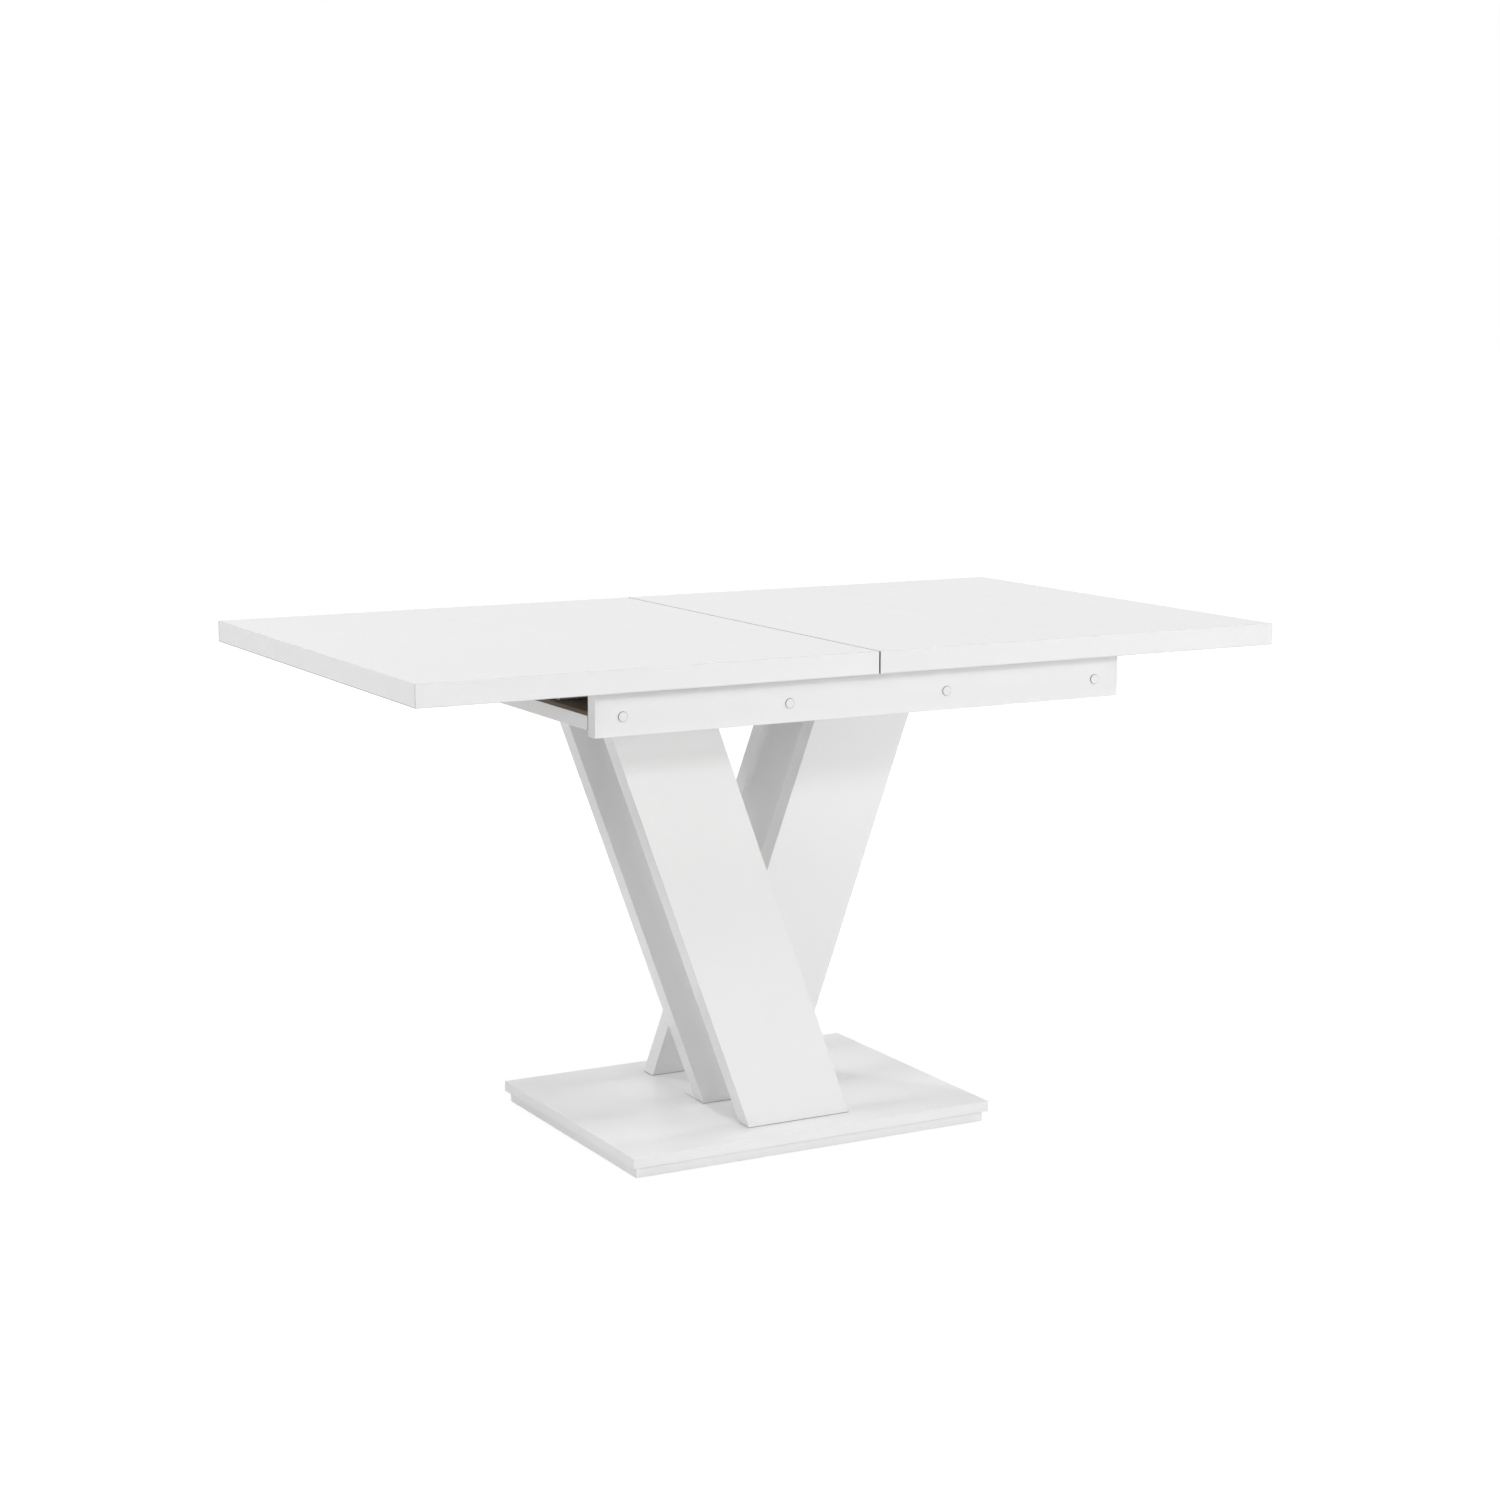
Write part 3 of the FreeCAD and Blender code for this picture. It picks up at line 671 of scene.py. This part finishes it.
grown("leg_centre_dowels", "frame", along_y, fluted_dowel("leg_centre_dowels", Y, seed=21))
# Painted shade: a near-black line round the foot of each pedestal board, for the contact shadow on the base.
FOOT_JOINT_SHADE = (Z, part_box("base_plate_upper")[1][Z], 0.0008)
for number, node in enumerate(("leg_front", "leg_centre_front", "leg_centre_rear", "leg_rear")):
    cover(node, "frame", laminate(node + "_laminate", shift=7.3 + number, shaded_joint=FOOT_JOINT_SHADE))
grown("leg_top_screws", "frame", downward,
      connector_screw("leg_top_screw", length_along("leg_top_screws", Z), seed=22))

# ---- Shelf and end rails ----------------------------------------------------------------------------
# A board, laminated below and bare above, closes the frame and carries the stored leaf. At each end a
# rail of laminated board stands between the aprons, on two beech dowels.

# Bare fibreboard brown, made darker than the board is as painted shade for the deep shadow under the tops.
FIBREBOARD_AND_SHADE = ((0.16, 0.125, 0.095, 1), (0.07, 0.055, 0.042, 1))
SAWN_TOP = ((0.36, 0.29, 0.22, 1), (0.20, 0.155, 0.115, 1))
cover("shelf", "frame",
      laminate("shelf_laminate", shift=16.3, raw_edges=True, raw_above=FIBREBOARD_AND_SHADE))
# Painted shade: a near-black line on each end rail where it meets the aprons, for the shadow in the gap
# there.
RAIL_JOINT_SHADE = (Y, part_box("end_rail_left")[1][Y], 0.0012)
for number, node in enumerate(("end_rail_left", "end_rail_right")):
    cover(node, "frame",
          laminate(node + "_laminate", shift=17.3 + number, raw_above=SAWN_TOP, shaded_joint=RAIL_JOINT_SHADE))
grown("end_rail_dowels", "frame", along_y, fluted_dowel("end_rail_dowels", Y, seed=31))

# ---- Aprons -------------------------------------------------------------------------------------------
# The two long boards that show below the top. Each is drawn against its bearer by four connector
# screws, and a white cap is pressed over each screw.


def inward(middle):
    return (0, -math.copysign(1, middle.y), 0)


def outward(middle):
    return (0, math.copysign(1, middle.y), 0)


for number, node in enumerate(("apron_front", "apron_rear")):
    cover(node, "frame", laminate(node + "_laminate", shift=12.3 + number))
grown("apron_screws", "frame", inward,
      connector_screw("apron_screw", length_along("apron_screws", Y), seed=41))

CAP_WHITE = (0.845, 0.847, 0.850, 1)
CAP_FLOW = (0.815, 0.817, 0.820, 1)
CAP_RIM_SHADE = (0.05, 0.05, 0.052, 1)
CAP_GLOSS = (0.22, 0.34)
CAP_GRAIN_DEPTH = 0.00003
CAP_IOR = 1.49


def cap_plastic(board_face):
    """White polypropylene: satin, a little cooler than the board, with painted shade round its foot where it
    meets it.
    """
    f = Finish("cap_polypropylene")
    flow = f.noise(420.0, 2.0, roughness=0.6)
    grain = f.noise(3600.0, 2.0)
    colour = f.blend(flow, CAP_WHITE, CAP_FLOW)
    # Painted shade: a near-black ring at the foot of the cap, where it stands out from the board.
    above = f.math("SUBTRACT", f.math("ABSOLUTE", f.split(f.place)[Y]), board_face)
    dust_and_rim_shade = f.spread(above, 0.84 * CAP_THICKNESS, 0.94 * CAP_THICKNESS, 1.0, 0.0)
    colour = f.blend(dust_and_rim_shade, colour, CAP_RIM_SHADE)
    rough = f.spread(grain, 0.3, 0.7, *CAP_GLOSS)
    return f.set(Base_Color=colour, Roughness=rough, Normal=f.bump(grain, CAP_GRAIN_DEPTH, 0.4), IOR=CAP_IOR)


CAP_OUTLINE = ((0, 0), (0.955, 0), (0.985, 0.16), (1, 0.38), (1, 0.62), (0.97, 0.84), (0.915, 0.97),
               (0.85, 1), (0.45, 1), (0, 1))
CAP_RADIUS, CAP_THICKNESS = 0.007, 0.0012
APRON_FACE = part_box("apron_rear")[1][Y]
grown("apron_screw_caps", "frame", outward,
      turning("screw_cap", CAP_OUTLINE, CAP_RADIUS, CAP_THICKNESS, cap_plastic(APRON_FACE)))

# ---- Bearers ------------------------------------------------------------------------------------------
# Two beech battens between shelf and aprons, planed and left bare. They carry the slides, and three
# long connector screws hold each to the shelf's edge.

BEARER_ROUNDING = 0.0008
for number, node in enumerate(("bearer_front", "bearer_rear")):
    cover(node, "frame", beech(node + "_beech", X, 3.3 * number), BEARER_ROUNDING)
grown("bearer_screws", "frame", inward,
      connector_screw("bearer_screw", length_along("bearer_screws", Y), seed=51))

# ---- Slide tracks -------------------------------------------------------------------------------------
# C-shaped aluminium extrusions, screwed down on the bearers. A nylon guide is fixed in each mouth, so
# that the runner's head never rubs on the metal.

ALUMINIUM_GREY = (0.74, 0.745, 0.75, 1)
ALUMINIUM_PALE = (0.82, 0.82, 0.815, 1)
ALUMINIUM_GLOSS = (0.28, 0.44)
DIE_LINE_DEPTH = 0.00002
NYLON_CREAM = (0.80, 0.78, 0.70, 1)
NYLON_DULL = (0.74, 0.72, 0.63, 1)
NYLON_GLOSS = (0.34, 0.48)
NYLON_GRAIN_DEPTH = 0.00003
NYLON_IOR = 1.53


def aluminium(name, shift):
    """Extruded aluminium: long die lines, a satin skin and a few rubbed streaks."""
    f = Finish(name)
    lines = f.noise(900.0, 3.0, f.moved((0.002, 1, 1), (0, shift, shift)), 0.7)
    cloud = f.noise(14.0, 4.0, f.moved((0.3, 1, 1), (shift, 0, 0)))
    rubbed = f.spread(f.noise(160.0, 3.0, f.moved((0.02, 1, 1), (shift, 0, 0)), 0.6), 0.58, 0.7)
    colour = f.blend(cloud, ALUMINIUM_GREY, ALUMINIUM_PALE)
    rough = f.math("SUBTRACT", f.spread(lines, 0.3, 0.7, *ALUMINIUM_GLOSS), f.math("MULTIPLY", rubbed, 0.1))
    surface = f.bump(lines, DIE_LINE_DEPTH, 0.5)
    return f.set(Base_Color=colour, Metallic=1.0, Roughness=rough, Normal=surface)


def nylon(name):
    """Natural nylon: creamy, a little translucent, satin from the mould."""
    f = Finish(name)
    flow = f.noise(260.0, 3.0, f.moved((0.3, 1, 1)), 0.6)
    grain = f.noise(3000.0, 2.0)
    colour = f.blend(flow, NYLON_CREAM, NYLON_DULL)
    rough = f.spread(grain, 0.3, 0.7, *NYLON_GLOSS)
    return f.set(Base_Color=colour, Roughness=rough, Normal=f.bump(grain, NYLON_GRAIN_DEPTH, 0.4),
                 Subsurface_Weight=0.15, Subsurface_Scale=0.002, IOR=NYLON_IOR)


EXTRUSION_ROUNDING = 0.0003
for number, node in enumerate(("track_front", "track_rear")):
    cover(node, "frame", aluminium(node + "_aluminium", 1.7 * number), EXTRUSION_ROUNDING)
grown("track_screws", "frame", downward,
      wood_screw("track_screw", length_along("track_screws", Z), seed=61))
cover("track_guides", "frame", nylon("guide_nylon"), EXTRUSION_ROUNDING)

# ---- Stops --------------------------------------------------------------------------------------------
# Beech blocks glued on the shelf. Each meets the block under a top when that top is drawn right out.

STOP_ROUNDING = 0.001
cover("frame_stop_blocks", "frame", beech("frame_stop_beech", X, 6.1), STOP_ROUNDING)

# ---- Tops and leaf --------------------------------------------------------------------------------------
# Particle board faced on both sides, doubled by strips glued under the rim. One plastic band covers
# the edge of both layers, with a fine dark glue line, partly painted shade of the gap, where two
# bands meet at a corner. The bands also carry painted shade along their lower rim and on their faces
# at the split of the tops.

GLUE_LINE_AND_GAP_SHADE = (0.05, 0.047, 0.045, 1)
PAINTED_SPLIT_SHADE = (0.30, 0.295, 0.29, 1)
PAINTED_RIM_SHADE = (0.12, 0.118, 0.115, 1)
RIM_SHADE_HEIGHT = 0.0015
RIM_SHADE_ON_SIDES = 0.15
BAND_THICKNESS = 0.001
BAND_GLOSS = (0.06, 0.15)
ROLLING_DEPTH = 0.00003
LINE_WIDTH = 0.0018
SPLIT_FACE = (0.0012, 0.0016)           # from the table's middle


def edge_band(name, node, long_axis, split, shift):
    """The laminate's white in glossy plastic, with painted shade on its faces at the split and along its
    lower rim.

    A dark glue line, partly painted shade of the gap, shows on the short sides, where two bands meet
    at a corner.
    """
    f = Finish(name)
    moved = f.moved(shift=(shift, shift / 2, shift / 3))
    colour = printed_white(f, moved)
    rough = f.spread(f.noise(HAZE_SCALE, 5.0, moved, 0.6, 0.6), 0.35, 0.75, *BAND_GLOSS)
    rolled = f.bump(f.noise(WAVE_SCALE, 2.0, f.moved((0.4, 0.4, 2), (shift, 0, 0))), ROLLING_DEPTH, 0.6)
    across = 1 - long_axis
    low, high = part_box(node)
    # The corner glue line is partly a dark glue joint and partly painted shade of the gap.
    shaded_joint = high[across] - BAND_THICKNESS
    off_joint = f.math("ABSOLUTE", f.math("SUBTRACT", f.math("ABSOLUTE", f.split(f.place)[across]), shaded_joint))
    at_joint = f.spread(off_joint, 0.4 * LINE_WIDTH, 0.6 * LINE_WIDTH, 1.0, 0.0)
    on_end = f.spread(f.math("ABSOLUTE", f.facing[long_axis]), 0.8, 0.9)
    full = f.spread(f.noise(700.0), 0.2, 0.5, 0.6, 1.0)
    line = f.math("MULTIPLY", f.math("MULTIPLY", at_joint, on_end), full)
    colour = f.blend(line, colour, GLUE_LINE_AND_GAP_SHADE)
    # Painted shade: a dark line along the band's lower rim, full on the ends and faint on the sides, for the
    # shade under the edge.
    above = f.math("SUBTRACT", f.split(f.place)[Z], low[Z])
    rim_shade = f.spread(above, 0.5 * RIM_SHADE_HEIGHT, RIM_SHADE_HEIGHT, 1.0, 0.0)
    colour = f.blend(f.math("MULTIPLY", rim_shade, f.math("MAXIMUM", on_end, RIM_SHADE_ON_SIDES)), colour, PAINTED_RIM_SHADE)
    # Painted shade: the faces at the split of the tops are dark grey, for the shadow in the gap between
    # them.
    if split:
        split_shade = f.spread(f.math("ABSOLUTE", f.split(f.place)[X]), *SPLIT_FACE, 1.0, 0.0)
        colour = f.blend(split_shade, colour, PAINTED_SPLIT_SHADE)
    return f.set(Base_Color=colour, Roughness=rough, Normal=rolled, IOR=LACQUER_IOR)


def along_x(middle):
    return (1, 0, 0)


PANELS = {"top_left": ("top_left", X), "top_right": ("top_right", X), "leaf": ("frame", Y)}
for number, (panel, (body, long_axis)) in enumerate(PANELS.items()):
    cover(panel + "_board", body,
          laminate(panel + "_laminate", shift=21.3 + number, matt_below=True))
    cover(panel + "_strips", body,
          laminate(panel + "_strip_laminate", shift=25.3 + number, matt_below=True, raw_edges=True))
    band = edge_band(panel + "_band", panel + "_bands", long_axis, split=body != "frame",
                     shift=28.3 + number)
    cover(panel + "_bands", body, band)
grown("top_right_dowels", "top_right", along_x, fluted_dowel("top_right_dowels", X, seed=71))
grown("leaf_dowels", "frame", along_y, fluted_dowel("leaf_dowels", Y, seed=72))

# ---- Runners ------------------------------------------------------------------------------------------
# T-headed aluminium extrusions, each screwed up into a top by its flange. The head slides in the
# track, with a nylon shoe at its inner end, and a beech stop is glued beside it.

PAN_HEAD, PAN_HEIGHT = 0.0035, 0.0024
PAN_CROSS = ("cross", 0.0036, 0.0014)
for number, side in enumerate(("top_left", "top_right")):
    for end in ("front", "rear"):
        node = side + "_runner_" + end
        cover(node, side, aluminium(node + "_aluminium", 5.1 + number), EXTRUSION_ROUNDING)
    node = side + "_runner_screws"
    grown(node, side, upward,
          screw(node + "_unit", PAN, PAN_CROSS, PAN_HEAD, PAN_HEIGHT, WOOD_SHANK, length_along(node, Z),
                WOOD_PITCH, seed=81 + number))
    cover(side + "_shoes", side, nylon(side + "_shoe_nylon"), EXTRUSION_ROUNDING)
    cover(side + "_stops", side, beech(side + "_stop_beech", X, 8.7 + number), STOP_ROUNDING)
